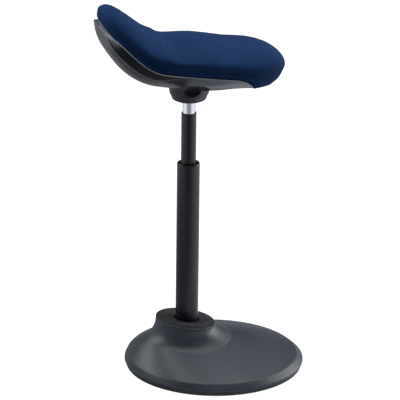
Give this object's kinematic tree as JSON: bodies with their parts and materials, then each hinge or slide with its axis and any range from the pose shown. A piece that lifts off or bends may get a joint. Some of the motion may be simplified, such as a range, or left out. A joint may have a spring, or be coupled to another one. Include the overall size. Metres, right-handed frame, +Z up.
{
  "type": "perch stool",
  "caption": "Height-adjustable perch stool: a fabric saddle seat with a raised tail, a telescoping column that sways in a rubber bearing, and a round weighted base with an off-centre hub.",
  "frame": {"origin": "on the floor, at the column's axis", "axes": "+X towards the sitter's front, the nose of the seat, +Y to the sitter's left, +Z up along the column"},
  "size_m": [0.4711, 0.395, 0.8525],
  "materials": {
    "rubber": "matt black rubber",
    "cast_iron": "dark primer on cast iron",
    "cover_plastic": "satin dark grey moulding with a fine grain",
    "collar_plastic": "matt black moulding",
    "steel": "zinc plated steel",
    "tube_paint": "semi-gloss black powder coat on steel tube",
    "guide_plastic": "black acetal",
    "chrome": "bright chrome plate",
    "shell_plastic": "glossy black moulding",
    "board": "moulded plywood, unfinished",
    "fabric": "navy woven wool-like upholstery"
  },
  "bodies": {
    "base": {"foot_tray": "rubber", "ballast_plate": "cast_iron", "bearing_housing": "cast_iron", "bearing_retainer": "cast_iron", "base_cover": "cover_plastic", "collar_ring": "collar_plastic", "hub_boot": "rubber", "cover_screw_1": "steel", "cover_screw_2": "steel", "cover_screw_3": "steel", "cover_screw_4": "steel", "housing_bolt_1": "steel", "housing_bolt_2": "steel", "housing_bolt_3": "steel", "housing_bolt_4": "steel", "retainer_bolt_1": "steel", "retainer_bolt_2": "steel", "retainer_bolt_3": "steel", "retainer_bolt_4": "steel"},
    "bush": {"sway_bush": "rubber"},
    "column": {"sway_ball": "steel", "outer_tube": "tube_paint", "outer_guide_bush": "guide_plastic", "thrust_bearing": "steel"},
    "rod": {"piston_rod": "chrome", "gas_piston": "guide_plastic", "rod_washer": "steel", "retaining_clip": "steel"},
    "middle": {"middle_tube": "tube_paint", "middle_foot_ring": "guide_plastic", "middle_guide_bush": "guide_plastic"},
    "seat": {"gas_cylinder": "chrome", "mechanism_housing": "shell_plastic", "seat_bracket": "steel", "paddle_pin": "steel", "seat_pan": "board", "seat_shell": "shell_plastic", "cushion": "fabric", "shell_screw_1": "steel", "shell_screw_2": "steel", "shell_screw_3": "steel", "shell_screw_4": "steel", "bracket_bolt_1": "steel", "bracket_bolt_2": "steel", "bracket_bolt_3": "steel", "bracket_bolt_4": "steel"},
    "paddle": {"release_paddle": "guide_plastic"},
    "pin": {"release_pin": "steel"}
  },
  "joints": [
    {"name": "sway_fore_aft", "type": "hinge", "parent": "base", "child": "bush", "pos_m": [0, 0, 0.076], "axis": [0, 1, 0], "range_deg": [-2, 2], "stiffness_Nm_per_rad": 500},
    {"name": "sway_side", "type": "hinge", "parent": "bush", "child": "column", "pos_m": [0, 0, 0.076], "axis": [1, 0, 0], "range_deg": [-2, 2], "stiffness_Nm_per_rad": 500},
    {"name": "seat_swivel", "type": "hinge", "parent": "column", "child": "rod", "pos_m": [0, 0, 0.057], "axis": [0, 0, 1], "continuous": true},
    {"name": "height", "type": "slide", "parent": "rod", "child": "seat", "axis": [0, 0, 1], "range_m": [-0.13, 0.09]},
    {"name": "sleeve", "type": "slide", "parent": "column", "child": "middle", "axis": [0, 0, 1], "range_m": [-0.104, 0.072]},
    {"name": "paddle_tilt", "type": "hinge", "parent": "seat", "child": "paddle", "pos_m": [0, -0.016, 0.664], "axis": [-1, 0, 0], "range_deg": [0, 12]},
    {"name": "pin_press", "type": "slide", "parent": "seat", "child": "pin", "axis": [0, 0, -1], "range_m": [0, 0.0031], "stiffness_N_per_m": 2000, "springref_m": -0.0015}
  ],
  "couplings": [
    {"joint": "sleeve", "follows": "height", "ratio": 0.8},
    {"joint": "paddle_tilt", "follows": "pin_press", "rad_per_m": 62.5}
  ]
}
